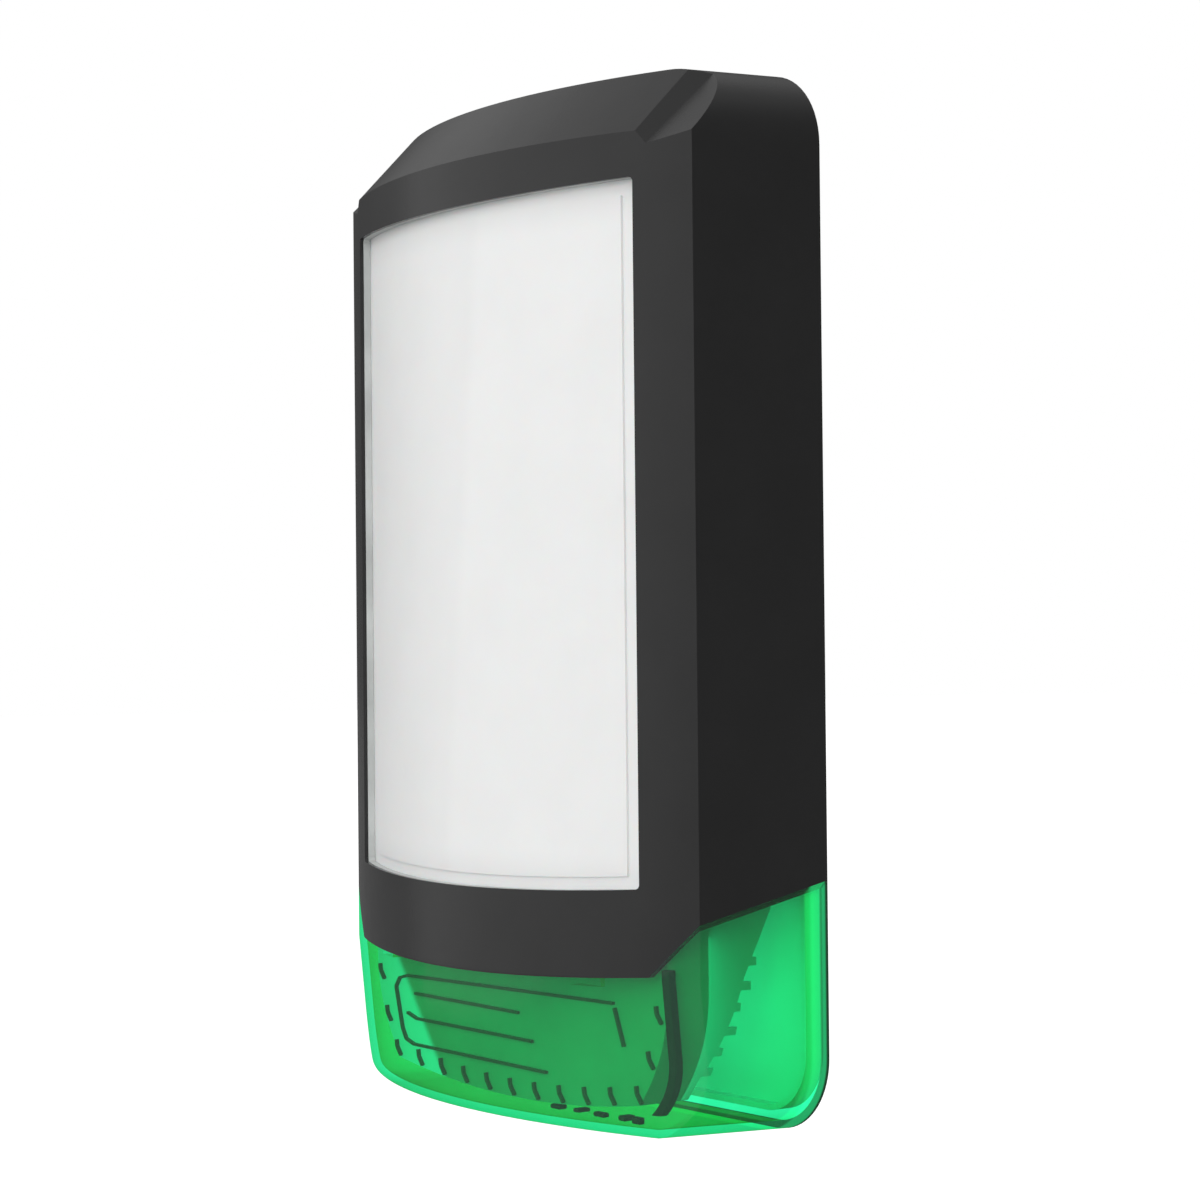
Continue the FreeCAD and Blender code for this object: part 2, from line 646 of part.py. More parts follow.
FIXINGS = [(sx, fix) for sx in ("+", "-") for fix in ("fix_top", "fix_bottom")]
fix_bosses = [cylinder("fix_boss_%d" % i, "y",
                       ("0 %s fix_half_x" % sx, "0 - plate_thick - fix_boss_height", fix),
                       "fix_boss", "fix_boss_height") for i, (sx, fix) in enumerate(FIXINGS)]
fix_holes = [cylinder("fix_hole_%d" % i, "y", ("0 %s fix_half_x" % sx, "-10", fix), "fix_hole", "12")
             for i, (sx, fix) in enumerate(FIXINGS)]
hang_hole = cylinder("hang_hole", "y", ("0", "-10", "hang_z"), "fix_hole", "12")
cable_cut = cylinder("cable_cut", "y", ("cable_x", "-10", "cable_z"), "cable_hole", "12")
tamper_cut = cylinder("tamper_cut", "y", ("wall_tamper_x", "-10", "wall_tamper_z"),
                      "plunger_cap_radius + 0.4", "12")

BOARD_SPOTS = [(x, z) for x in ("board_left + board_hole_inset", "board_right - board_hole_inset")
               for z in ("board_low + board_hole_inset", "board_high - board_hole_inset")]
standoffs = [cylinder("standoff_%d" % i, "y", (x, "board_y", z), "boss_radius - 0.5",
                      "0 - board_y - plate_thick + 0.5") for i, (x, z) in enumerate(BOARD_SPOTS)]
standoff_bores = [cylinder("standoff_bore_%d" % i, "y", (x, "board_y - 1", z), "small_screw_hole",
                           "8") for i, (x, z) in enumerate(BOARD_SPOTS)]

tongue = box("tongue", ("-9", "screw_y - 7", "tongue_low"),
             ("9", "0 - plate_thick", "tongue_low + tongue_thick"))
tongue_slot = [
    cylinder("slot_round", "z", ("0", "screw_y", "tongue_low - 1"), "screw_radius + 0.9", "6"),
    box("slot_mouth", ("0 - screw_radius - 0.9", "screw_y - 12", "tongue_low - 1"),
        ("screw_radius + 0.9", "screw_y", "tongue_low + 5"))]

rim_notch = box("rim_notch", ("-9", "0 - rim_depth - 1", "plate_bottom - 1"),
                ("9", "0 - plate_thick", "plate_bottom + rim_thick + 1"))
plate_whole = fuse("plate_whole", plate_blank, cut("notched_rim", rim, rim_notch), *fix_bosses,
                   *standoffs, tongue)
part("back_plate", cut("plate_body", plate_whole, *plate_screw_holes, *fix_holes, hang_hole, cable_cut,
                       tamper_cut, *standoff_bores, *tongue_slot))
part("bracket_screws", group("bracket_screw_set", [
    screw("bracket_screw", Vector(sx * size("hinge_x"), -size("plate_thick") - size("bracket_foot_thick"),
                                  (size("arm_root_bottom") + size("arm_root_top")) / 2), REARWARD, 6.5)
    for sx in (1, -1)]))

pins = [cylinder("pin_" + side, "x",
                 ("(0 %s hinge_x) - knuckle_half_width - arm_gap - arm_width" % sign, "hinge_y", "hinge_z"),
                 "pin_radius", "2 * (knuckle_half_width + arm_gap + arm_width)")
        for side, sign in (("right", "+"), ("left", "-"))]
part("hinge_pins", fuse("hinge_pin_pair", *pins))


# ---------------------------------------------------------------- inside of the case

def ring(name, axis, start, outer, inner, length):
    hollow = cylinder(name + "_hollow", axis, start, inner, length)
    return cut(name, cylinder(name + "_solid", axis, start, outer, length), hollow)


def grommet():
    """Rubber ring with a groove that grips the plate round the cable hole."""
    inner = size("cable_hole") - 3.0
    profile = [(inner, 0.0), (size("cable_hole") - 0.1, 0.0), (size("cable_hole") - 0.1, -3.1),
               (size("cable_hole") + 2.5, -3.1), (size("cable_hole") + 2.0, -5.5), (inner, -6.5)]
    points = [Vector(size("cable_x") + r, y, size("cable_z")) for r, y in profile]
    face = Part.Face(Part.makePolygon(points + points[:1]))
    return face.revolve(Vector(size("cable_x"), 0, size("cable_z")), Vector(0, 1, 0), 360)


part("cable_grommet", made("grommet_body", grommet()))

board_blank = box("board_blank", ("board_left", "board_y - board_thick", "board_low"),
                  ("board_right", "board_y", "board_high"))
board_holes = [cylinder("board_hole_%d" % i, "y", (x, "-16", z), "1.7", "8")
               for i, (x, z) in enumerate(BOARD_SPOTS)]
part("circuit_board", cut("board_body", board_blank, *board_holes))
part("board_screws", group("board_screw_set", [
    screw("board_screw", Vector(x, size("board_y") - size("board_thick"), z), REARWARD, 6.0)
    for x in (size("board_left") + size("board_hole_inset"), size("board_right") - size("board_hole_inset"))
    for z in (size("board_low") + size("board_hole_inset"), size("board_high") - size("board_hole_inset"))]))

FACE_Y = size("board_y") - size("board_thick")
TERMINALS = 8
TERMINAL_PITCH = 6.0
TERMINAL_LEFT = 8.0


def terminal_block():
    length = TERMINALS * TERMINAL_PITCH
    body = Part.makeBox(length, 10, 9, Vector(TERMINAL_LEFT, FACE_Y - 10, -18))
    for number in range(TERMINALS):
        centre = TERMINAL_LEFT + (number + 0.5) * TERMINAL_PITCH
        body = body.cut(Part.makeBox(4, 5, 6, Vector(centre - 2, FACE_Y - 6.5, -19)))
        body = body.cut(Part.makeCylinder(2.0, 3, Vector(centre, FACE_Y - 8.0, -12.4), FRONTWARD))
    return body


part("terminal_block", made("terminal_body", terminal_block()))
part("terminal_screws", group("terminal_screw_set", [
    Part.makeCylinder(1.9, 1.2, Vector(TERMINAL_LEFT + (number + 0.5) * TERMINAL_PITCH, FACE_Y - 8.0, -12.4),
                      FRONTWARD) for number in range(TERMINALS)]))

CHIPS = ((12, 40, 14, 14, 2.0), (40, 62, 18, 7, 2.5), (6, 72, 10, 8, 3.0), (42, 30, 9, 18, 9.0),
         (20, 8, 6, 4, 2.0), (34, 12, 6, 4, 2.0))
part("board_chips", group("board_chip_set", [
    Part.makeBox(width, tall, deep, Vector(x, FACE_Y - tall, z)) for x, z, width, deep, tall in CHIPS]))
CAPACITORS = ((20, 88, 5.0, 14.0), (34, 88, 5.0, 14.0), (60, 12, 4.0, 11.0), (8, 24, 3.2, 8.0))
part("capacitors", group("capacitor_set", [
    Part.makeCylinder(r, tall, Vector(x, FACE_Y, z), FRONTWARD) for x, z, r, tall in CAPACITORS]))

horn_start = ("horn_x", "0 - plate_thick - horn_depth", "horn_z")
horn_wall_ring = ring("horn_ring", "y", horn_start, "horn_radius", "horn_radius - horn_wall", "horn_depth")
horn_floor = cylinder("horn_floor", "y", ("horn_x", "0 - plate_thick - 2", "horn_z"), "horn_radius - 1", "2")
part("sounder_chamber", fuse("chamber_body", horn_wall_ring, horn_floor))


def grille():
    """Cap of the sounder chamber with rings of round sound holes."""
    start = Vector(size("horn_x"), -size("plate_thick") - size("horn_depth"), size("horn_z"))
    cap = Part.makeCylinder(size("horn_radius"), 2.0, start, FRONTWARD)
    for rings, count in ((8.0, 6), (15.0, 12), (22.0, 18)):
        for number in range(count):
            angle = 2 * math.pi * number / count
            spot = start + Vector(rings * math.cos(angle), 1, rings * math.sin(angle))
            cap = cap.cut(Part.makeCylinder(2.0, 4.0, spot, FRONTWARD))
    return cap


part("sounder_grille", made("grille_body", grille()))
part("piezo_disc", cylinder("disc_body", "y", ("horn_x", "-15", "horn_z"), "disc_radius", "0.8"))
part("piezo_holder", ring("holder_body", "y", ("horn_x", "-14.2", "horn_z"), "disc_radius + 1",
                          "disc_radius - 3", "14.2 - plate_thick - 2"))

CELLS = 6
cell_set = []
cap_set = []
for number in range(CELLS):
    centre = Vector(size("cell_left") + (number + 0.5) * size("cell_pitch"), size("cell_y"), size("cell_low"))
    cell_set.append(Part.makeCylinder(size("cell_radius"), size("cell_length"), centre, Vector(0, 0, 1)))
    cap_set.append(Part.makeCylinder(2.6, 1.0, centre + Vector(0, 0, size("cell_length")), Vector(0, 0, 1)))
part("battery_cells", group("battery_cell_set", cell_set))
part("battery_tabs", group("battery_tab_set", cap_set))

cell_right = "cell_left + %d * cell_pitch" % CELLS
cradle_solid = box("cradle_solid", ("cell_left - 2.5", "-19.8", "cell_low - 2.5"),
                   (cell_right + " + 2.5", "0 - plate_thick", "cell_low + cell_length + 4"))
cradle_hollow = box("cradle_hollow", ("cell_left - 0.3", "-21", "cell_low - 0.1"),
                    (cell_right + " + 0.3", "cell_y + cell_radius + 0.1", "cell_low + cell_length + 2"))
part("battery_cradle", cut("cradle_body", cradle_solid, cradle_hollow))


def strap():
    """Clip across the middle of the battery, hooked over both walls of the cradle."""
    left = size("cell_left") - 4.2
    right = size("cell_left") + CELLS * size("cell_pitch") + 4.2
    front = size("cell_y") - size("cell_radius") - 0.2
    middle = size("cell_low") + size("cell_length") / 2
    outer = Part.makeBox(right - left, 16.0, 12.0, Vector(left, front - 1.5, middle - 6))
    hollow = Part.makeBox(right - left - 3.0, 20.0, 14.0, Vector(left + 1.5, front, middle - 7))
    return outer.cut(hollow)


part("battery_strap", made("strap_body", strap()))

level_box = box("level_box", ("0 - level_half_length", "-14", "level_z - 6"),
                ("level_half_length", "0 - plate_thick", "level_z + 6"))
level_bore = cylinder("level_bore", "x", ("0 - level_half_length - 1", "-9.5", "level_z"),
                      "vial_radius + 0.1", "2 * level_half_length + 2")
level_window = box("level_window", ("-12", "-16", "level_z - 3"), ("12", "-9.5", "level_z + 3"))
part("level_holder", cut("level_body", level_box, level_bore, level_window))
vial_solid = cylinder("vial_solid", "x", ("2 - level_half_length", "-9.5", "level_z"), "vial_radius",
                      "2 * level_half_length - 4")
part("level_vial", vial_solid)


# ---------------------------------------------------------------- tamper switches

SWITCH_FACE = -23.0
plunger_hole = "plunger_radius + 0.25"
front_switch_box = box("front_switch_box",
                       ("tamper_x - switch_height / 2", "%s" % SWITCH_FACE, "tamper_z - switch_width / 2"),
                       ("tamper_x + switch_height / 2", str(FACE_Y), "tamper_z + switch_width / 2"))
front_switch_bore = cylinder("front_switch_bore", "y", ("tamper_x", str(SWITCH_FACE - 1), "tamper_z"),
                             plunger_hole, "8")
part("cover_tamper_switch", cut("front_switch_body", front_switch_box, front_switch_bore))

STEM_INSIDE = 3.4
front_stem = cylinder("front_stem", "y", ("tamper_x", str(SWITCH_FACE - 5.0), "tamper_z"),
                      "plunger_radius", "5 + %s" % STEM_INSIDE)
front_cap = cylinder("front_cap", "y", ("tamper_x", str(SWITCH_FACE - 5.6), "tamper_z"),
                     "plunger_cap_radius", "1.2")
part("cover_tamper_plunger", fuse("front_plunger_body", front_stem, front_cap))

rear_switch_box = box("rear_switch_box",
                      ("wall_tamper_x - switch_height", "-15", "wall_tamper_z - switch_width"),
                      ("wall_tamper_x + switch_height", "0 - plate_thick - 5",
                       "wall_tamper_z + switch_width"))
rear_switch_feet = [box("rear_switch_foot_%d" % i,
                        ("wall_tamper_x + %s" % x, "-9", "wall_tamper_z - switch_width"),
                        ("wall_tamper_x + %s + 2" % x, "0 - plate_thick", "wall_tamper_z + switch_width"))
                    for i, x in enumerate(("(0 - switch_height)", "(switch_height - 2)"))]
rear_switch_bore = cylinder("rear_switch_bore", "y", ("wall_tamper_x", "-12", "wall_tamper_z"),
                            plunger_hole, "8")
rear_switch_whole = fuse("rear_switch_whole", rear_switch_box, *rear_switch_feet)
part("wall_tamper_switch", cut("rear_switch_body", rear_switch_whole, rear_switch_bore))
rear_stem = cylinder("rear_stem", "y", ("wall_tamper_x", "-10.2", "wall_tamper_z"), "plunger_radius", "11")
rear_cap = cylinder("rear_cap", "y", ("wall_tamper_x", "0.2 - plunger_cap_height", "wall_tamper_z"),
                    "plunger_cap_radius", "plunger_cap_height + wall_tamper_proud - 0.2")
part("wall_tamper_plunger", fuse("rear_plunger_body", rear_stem, rear_cap))


def spring(x, z, low_y, high_y, radius, turns):
    """Compression spring along Y between two planes."""
    wire = 0.25
    height = high_y - low_y - 2 * wire
    helix = Part.makeLongHelix(height / turns, height, radius)
    section = Part.Wire(Part.makeCircle(wire, Vector(radius, 0, 0), Vector(0, 1, 0)))
    coil = Part.Wire(helix.Edges).makePipeShell([section], True, True)
    coil.Placement = Placement(Vector(x, high_y - wire, z), Rotation(Vector(0, 0, 1), FRONTWARD))
    return coil


part("cover_tamper_spring", made("front_spring_body", spring(
    size("tamper_x"), size("tamper_z"), SWITCH_FACE - 4.35, SWITCH_FACE - 0.05, 2.4, 4)))
part("wall_tamper_spring", made("rear_spring_body", spring(
    size("wall_tamper_x"), size("wall_tamper_z"), -7.95, -1.05, 2.4, 5)))


# ---------------------------------------------------------------- strobe unit

def housing_half(z):
    """Half width of the strobe housing at a height."""
    drop = max(0.0, size("housing_side_turn") - z) / size("housing_side_drop")
    return size("housing_half_width") - size("housing_side_lean") * drop ** 2.2


OUTLINE_TOP = -90.0
OUTLINE_HEIGHTS = (-120, -128, -136, -144, -152, -160, -168)


def housing_outline(name, inset):
    """Prism along Y with the housing's outline, whose sides curve in towards the bottom."""
    top = Vector(housing_half(OUTLINE_TOP) - inset, 0, OUTLINE_TOP)
    side = [Vector(housing_half(z) - inset, 0, z) for z in OUTLINE_HEIGHTS]
    curve = Part.BSplineCurve()
    curve.interpolate(side)
    right = [Part.makeLine(top, side[0]), curve.toShape()]
    left = [edge.mirror(Vector(), Vector(1, 0, 0)) for edge in right]
    across = [Part.makeLine(edge_end, Vector(-edge_end.x, 0, edge_end.z)) for edge_end in (top, side[-1])]
    wire = Part.Wire(Part.__sortEdges__(right + left + across))
    prism = Part.Face(wire).extrude(Vector(0, 80, 0))
    prism.translate(Vector(0, -70, 0))
    return made(name, prism)


def housing_solid(name, inset):
    """Block of the strobe housing with its arched lower edge, set inwards by inset."""
    blank = box(name + "_box",
                ("%s - housing_half_width" % inset, "housing_front + %s" % inset, "housing_bottom"),
                ("housing_half_width - %s" % inset, "-8", "housing_top + %s" % inset))
    arch = sag_cylinder(name + "_arch", "housing_bottom + %s" % inset, "housing_sag_radius - %s" % inset)
    inset_value = size(inset) if inset in SIZES else float(inset)
    return common(name, blank, arch, housing_outline(name + "_outline", inset_value))


# rear edge of the housing's sides, as (y, z) points from the top down
SLANT = ((-11.0, -90.0), (-11.0, -97.0), (-22.0, -118.0), (-33.0, -150.0), (-33.0, -170.0))


def behind_slant(name):
    """Space behind the housing's slanting rear edge."""
    ring_points = [Vector(-120, y, z) for y, z in SLANT + ((0.0, -170.0), (0.0, -90.0))]
    face = Part.Face(Part.makePolygon(ring_points + ring_points[:1]))
    return made(name, face.extrude(Vector(240, 0, 0)))


LUG_HEIGHTS = (-113.0, -120.5, -127.0, -134.5, -141.0, -147.5)
LUG_REACHES = (2.4, 3.6, 2.0, 4.0, 2.6, 3.4)
LUG_HALF_HEIGHT = 1.3
LUG_ROOT = 1.0


def rear_edge(z):
    """Depth of the housing's slanting rear edge at a height."""
    for (y_above, z_above), (y_below, z_below) in zip(SLANT, SLANT[1:]):
        if z_below <= z <= z_above:
            return y_above + (y_below - y_above) * (z_above - z) / (z_above - z_below)
    raise ValueError("no rear edge at height %s" % z)


def lug_slab(z, reach):
    """Slab across the housing from which the lugs at one height are cut."""
    start = rear_edge(z - LUG_HALF_HEIGHT) - LUG_ROOT
    return Part.makeBox(240, rear_edge(z) + reach - start, 2 * LUG_HALF_HEIGHT,
                        Vector(-120, start, z - LUG_HALF_HEIGHT))


housing_outer = cut("housing_outer", housing_solid("housing_block", "0"), behind_slant("slant"))
housing_holes = [cylinder("housing_hole_%d" % i, "y", (x, "-60", "housing_screw_z"), "1.7", "20")
                 for i, x in enumerate(HOUSING_SCREWS)]
housing_shell = cut("housing_body", housing_outer, housing_solid("housing_hollow", "housing_wall"),
                    *housing_holes)
side_walls = cut("housing_side_walls", housing_outline("lug_outer", 0.0),
                 housing_outline("lug_inner", size("housing_wall")))
lugs = common("housing_lugs", side_walls, group("lug_slabs", [
    lug_slab(z, reach) for z, reach in zip(LUG_HEIGHTS, LUG_REACHES)]))
part("strobe_housing", fuse("housing_with_lugs", housing_shell, lugs))
HOUSING_FRONT = size("housing_front")
HOUSING_SEAT = HOUSING_FRONT + size("housing_wall")
part("housing_screws", group("housing_screw_set", [
    screw("housing_screw", Vector(float(x), HOUSING_SEAT, size("housing_screw_z")), FRONTWARD,
          size("housing_screw_shank")) for x in HOUSING_SCREWS]))


def raised_line(start, end, width):
    """Thin straight bar on the housing's front between two (x, z) points."""
    along = Vector(end[0] - start[0], 0, end[1] - start[1])
    bar = Part.makeBox(along.Length, size("ridge_height"), width,
                       Vector(0, -size("ridge_height"), -width / 2))
    turn = math.degrees(math.atan2(along.z, along.x))
    bar.Placement = Placement(Vector(start[0], HOUSING_FRONT, start[1]),
                              Rotation(Vector(0, -1, 0), turn))
    return bar


RIDGE_PATHS = (
    # frame of the ribbed field, from the right end of its top round to its lower edge
    ((57.0, -126.0), (-64.0, -127.6), (-69.0, -128.8), (-71.4, -132.0), (-67.4, -146.0),
     (-65.0, -149.6), (-60.0, -151.0), (20.0, -151.8)),
    ((-59.0, -133.4), (4.0, -134.0)),
    ((-64.0, -140.4), (-58.0, -142.0), (12.0, -142.6)),
    ((57.6, -127.4), (62.4, -139.0)),
)
ridge_bars = [raised_line(start, end, size("ridge_thick"))
              for path in RIDGE_PATHS for start, end in zip(path, path[1:])]
part("reflector_ridges", made("ridge_body", ridge_bars[0].multiFuse(ridge_bars[1:])))

TEETH = 11
TOOTH_PITCH = 14.0
TOOTH_FROM_EDGE = 3.4
TOOTH_WIDTH = 1.0
TOOTH_PATH = ((-1.4, 2.6), (-1.0, 0.2), (1.4, -2.6))    # about its middle, from the top
SIDE_TEETH = (-127.4, -141.7)


def tooth(x, z):
    """Small hooked bar on the housing's front."""
    bars = [raised_line((x + start[0], z + start[1]), (x + end[0], z + end[1]), TOOTH_WIDTH)
            for start, end in zip(TOOTH_PATH, TOOTH_PATH[1:])]
    return bars[0].fuse(bars[1])


def lower_tooth(x):
    """Tooth beside the arched lower edge of the housing."""
    sag_radius = size("housing_sag_radius")
    edge = size("housing_bottom") + sag_radius - math.sqrt(sag_radius ** 2 - x ** 2)
    return tooth(x, edge + TOOTH_FROM_EDGE)


lower_teeth = [lower_tooth((number - (TEETH - 1) / 2) * TOOTH_PITCH) for number in range(TEETH)]
side_teeth = [tooth(side * (housing_half(z) - TOOTH_FROM_EDGE), z) for side in (1, -1) for z in SIDE_TEETH]
part("reflector_teeth", group("tooth_set", lower_teeth + side_teeth))

STROBE_BOARD_Y = size("strobe_board_rear") - size("board_thick")
part("strobe_board", box("strobe_board_body", ("-60", "strobe_board_rear - board_thick", "-138"),
                         ("60", "strobe_board_rear", "-110")))
STROBE_LEDS = 8
part("strobe_leds", group("strobe_led_set", [
    Part.makeBox(5, 2.2, 5, Vector(-44.5 + number * 84.0 / (STROBE_LEDS - 1), STROBE_BOARD_Y - 2.2, -121.5))
    for number in range(STROBE_LEDS)]))
brackets = [box("bracket_%d" % i, (x + " - 4", "housing_front + housing_wall + 0.05", "-134"),
                (x + " + 4", "strobe_board_rear - board_thick", "-124"))
            for i, x in enumerate(("-54", "54"))]
part("strobe_brackets", fuse("bracket_pair", *brackets))


# ---------------------------------------------------------------- cover screw

screw_head_low = size("screw_pocket_top") - 0.6 - 2.6
head = cylinder("cover_screw_head", "z", ("0", "screw_y", str(screw_head_low)),
                "screw_head_radius", "2.6")
shank = cylinder("cover_screw_shank", "z", ("0", "screw_y", str(screw_head_low + 2.5)),
                 "screw_radius", "17")
recess = cylinder("cover_screw_recess", "z", ("0", "screw_y", str(screw_head_low - 0.1)), "1.6", "1.7")
part("cover_screw", cut("cover_screw_body", fuse("cover_screw_whole", head, shank), recess))
part("screw_washer", ring("washer_body", "z", ("0", "screw_y", "screw_pocket_top - 0.55"),
                          "screw_head_radius", "screw_radius + 0.05", "0.5"))
nut_solid = box("nut_solid", ("-4", "screw_y - 4", "-153.6"), ("4", "screw_y + 4", "-150.4"))
part("cover_nut", cut("nut_body", nut_solid,
                      cylinder("nut_bore", "z", ("0", "screw_y", "-155"), "screw_radius + 0.05", "6")))


# ---------------------------------------------------------------- checks and export

doc.recompute()
failed = [obj.Name for obj in doc.Objects if {"Invalid", "Error"} & set(obj.State)]
for node, obj in parts.items():
    shape = obj.Shape
    if shape.isNull() or not shape.isValid() or not shape.Solids:
        failed.append(node)
if failed:
    raise RuntimeError("objects that did not build: " + ", ".join(failed))

os.makedirs("parts", exist_ok=True)
for node, obj in parts.items():
    obj.Shape.exportStep("parts/%s.step" % node)
print("%d sub-parts written" % len(parts))
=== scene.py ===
import json
import math

import bmesh
import bpy
from mathutils import Matrix, Vector


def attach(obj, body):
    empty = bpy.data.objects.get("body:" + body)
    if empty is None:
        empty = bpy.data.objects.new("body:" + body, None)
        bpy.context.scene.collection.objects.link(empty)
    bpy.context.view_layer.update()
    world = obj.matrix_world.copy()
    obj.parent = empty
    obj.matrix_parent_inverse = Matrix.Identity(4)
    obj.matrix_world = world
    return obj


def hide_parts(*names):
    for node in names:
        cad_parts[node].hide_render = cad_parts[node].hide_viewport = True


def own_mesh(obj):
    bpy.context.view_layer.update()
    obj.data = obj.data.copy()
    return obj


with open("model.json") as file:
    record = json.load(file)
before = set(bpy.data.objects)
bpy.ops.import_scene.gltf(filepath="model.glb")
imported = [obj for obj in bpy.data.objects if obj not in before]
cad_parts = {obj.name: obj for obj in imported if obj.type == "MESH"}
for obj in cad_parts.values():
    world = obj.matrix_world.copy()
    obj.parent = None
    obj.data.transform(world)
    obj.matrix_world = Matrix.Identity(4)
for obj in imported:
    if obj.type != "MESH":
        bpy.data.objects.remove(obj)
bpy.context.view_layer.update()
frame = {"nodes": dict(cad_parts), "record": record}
nodes = frame["nodes"]
scene = bpy.context.scene
MM = 0.001

WHITE = (1.0, 1.0, 1.0)

# ---------------------------------------------------------------- painted glow and painted shade on the plastics
# Lengths are in metres of the part, and depths are distances from the wall.

# painted glow on the opal panel, with a painted reflection line across it and painted shade towards
# its ends
PANEL_PAINTED_GLOW = 0.14
PANEL_DIM_PART = 0.84       # share of the painted glow on the dimmer side of the painted reflection line
PANEL_LEAN = -0.10          # how far the line between the two sides moves left, per metre of height
PANEL_SPLIT = 0.0           # where that line crosses the case's mid height
PANEL_SPLIT_WIDTH = 0.008
PANEL_EDGE_FADE = 0.020
PANEL_HALF_HEIGHT = 0.116   # from the middle to where the painted glow ends, above and below
PANEL_MIDDLE = 0.019

LENS_PAINTED_GLOW = (0.02, 0.80, 0.25)     # painted glow on the lens towards its rear edge
LENS_PAINTED_GLOW_STRENGTH = 0.28
LENS_PAINTED_GLOW_START = 0.0095           # depths between which it grows to its full strength
LENS_PAINTED_GLOW_FULL = 0.0075
# painted shade on the lens's cut edge that faces the wall
WALL_EDGE_PAINTED_SHADE = (0.02, 0.16, 0.08)
WALL_EDGE_START = 0.0030            # depths between which painted shade darkens the lens towards its cut edge
WALL_EDGE_END = 0.0022

# painted glow on the strobe housing, split across a slanted line: lean, middle, width, left and right
# strength
HOUSING_PAINTED_GLOW = (0.75, -0.162, 0.005, 0.60, 0.02)
HOUSING_FRONT = 0.0518      # painted shade makes the housing a little darker nearer the wall than this depth
# share of the housing's colour left under that painted shade
SIDE_PAINTED_SHADE = 0.95

# ---------------------------------------------------------------- materials
# Every pattern is laid out in object coordinates, which are the part's own metres.

NOISE_LOW = 0.3             # the usual span of a noise
NOISE_HIGH = 0.7
PANEL_COLOURS = ((0.69, 0.695, 0.692), (0.71, 0.715, 0.712))
FLOOR_COLOURS = ((0.33, 0.33, 0.33), (0.35, 0.35, 0.35))
SKIN_AT_FRONT = 0.02        # share of gloss on clear plastic seen head on


class Graph:
    """Short ways to add and join the nodes of one material or world."""

    def __init__(self, tree):
        self.tree = tree
        self.tree.nodes.clear()

    def add(self, kind, **values):
        node = self.tree.nodes.new("ShaderNode" + kind)
        for name, value in values.items():
            setattr(node, name, value)
        return node

    def join(self, source, target):
        self.tree.links.new(source, target)

    def noise(self, scale, detail=3.0, stretch=(1.0, 1.0, 1.0)):
        """Noise in the range 0 to 1, with its scale in cycles per metre."""
        where = self.add("TexCoord")
        mapping = self.add("Mapping")
        mapping.inputs["Scale"].default_value = stretch
        self.join(where.outputs["Object"], mapping.inputs["Vector"])
        texture = self.add("TexNoise")
        texture.inputs["Scale"].default_value = scale
        texture.inputs["Detail"].default_value = detail
        self.join(mapping.outputs["Vector"], texture.inputs["Vector"])
        return texture.outputs["Fac"]

    def remap(self, value, start, end, low, high, interpolation="LINEAR"):
        """Value that goes from low at start to high at end."""
        node = self.add("MapRange", interpolation_type=interpolation)
        node.inputs["From Min"].default_value = start
        node.inputs["From Max"].default_value = end
        node.inputs["To Min"].default_value = low
        node.inputs["To Max"].default_value = high
        self.join(value, node.inputs["Value"])
        return node.outputs["Result"]

    def spread(self, value, low, high):
        """Maps the usual span of a noise onto low to high."""
        return self.remap(value, NOISE_LOW, NOISE_HIGH, low, high)

    def ramp(self, value, start, end, low, high):
        """Smooth change from low at start to high at end."""
        return self.remap(value, start, end, low, high, "SMOOTHSTEP")

    def reckon(self, operation, *values, clamp=False):
        """Result of an operation on sockets and fixed numbers."""
        node = self.add("Math", operation=operation, use_clamp=clamp)
        for value, target in zip(values, node.inputs):
            if isinstance(value, bpy.types.NodeSocket):
                self.join(value, target)
            else:
                target.default_value = value
        return node.outputs["Value"]

    def blend(self, factor, first, second):
        """Colour between two colours."""
        node = self.add("Mix", data_type="RGBA")
        self.join(factor, node.inputs["Factor"])
        node.inputs["A"].default_value = (*first, 1.0)
        node.inputs["B"].default_value = (*second, 1.0)
        return node.outputs["Result"]

    def mix(self, factor, first, second):
        """Colour between a socket's colour and a fixed one."""
        node = self.add("Mix", data_type="RGBA")
        self.join(factor, node.inputs["Factor"])
        self.join(first, node.inputs["A"])
        node.inputs["B"].default_value = (*second, 1.0)
        return node.outputs["Result"]

    def place(self, axis):
        """Position along one of the part's own axes, in metres."""
        where = self.add("TexCoord")
        split = self.add("SeparateXYZ")
        self.join(where.outputs["Object"], split.inputs["Vector"])
        return split.outputs[axis]

    def bump(self, height, depth, under=None):
        """Surface relief of a depth in metres, on top of another relief."""
        node = self.add("Bump")
        node.inputs["Distance"].default_value = depth
        node.inputs["Strength"].default_value = 1.0
        self.join(height, node.inputs["Height"])
        if under is not None:
            self.join(under, node.inputs["Normal"])
        return node.outputs["Normal"]


def start_material(slot):
    """Empty material for one slot, and its graph."""
    material = bpy.data.materials.new(slot + "_finish")
    material.use_nodes = True
    return material, Graph(material.node_tree)


def finish_surface(graph, shader):
    output = graph.add("OutputMaterial")
    graph.join(shader, output.inputs["Surface"])


def scaled(colour, factor):
    return tuple(channel * factor for channel in colour)


def slanted_split(graph, lean, middle, width, left, right):
    """Value that changes from left to right across a leaning line on the case's front.

    lean is how far the line moves to the left per metre of height.
    """
    across = graph.reckon("MULTIPLY_ADD", graph.place("Z"), lean, graph.place("X"))
    return graph.ramp(across, middle - 0.5 * width, middle + 0.5 * width, left, right)


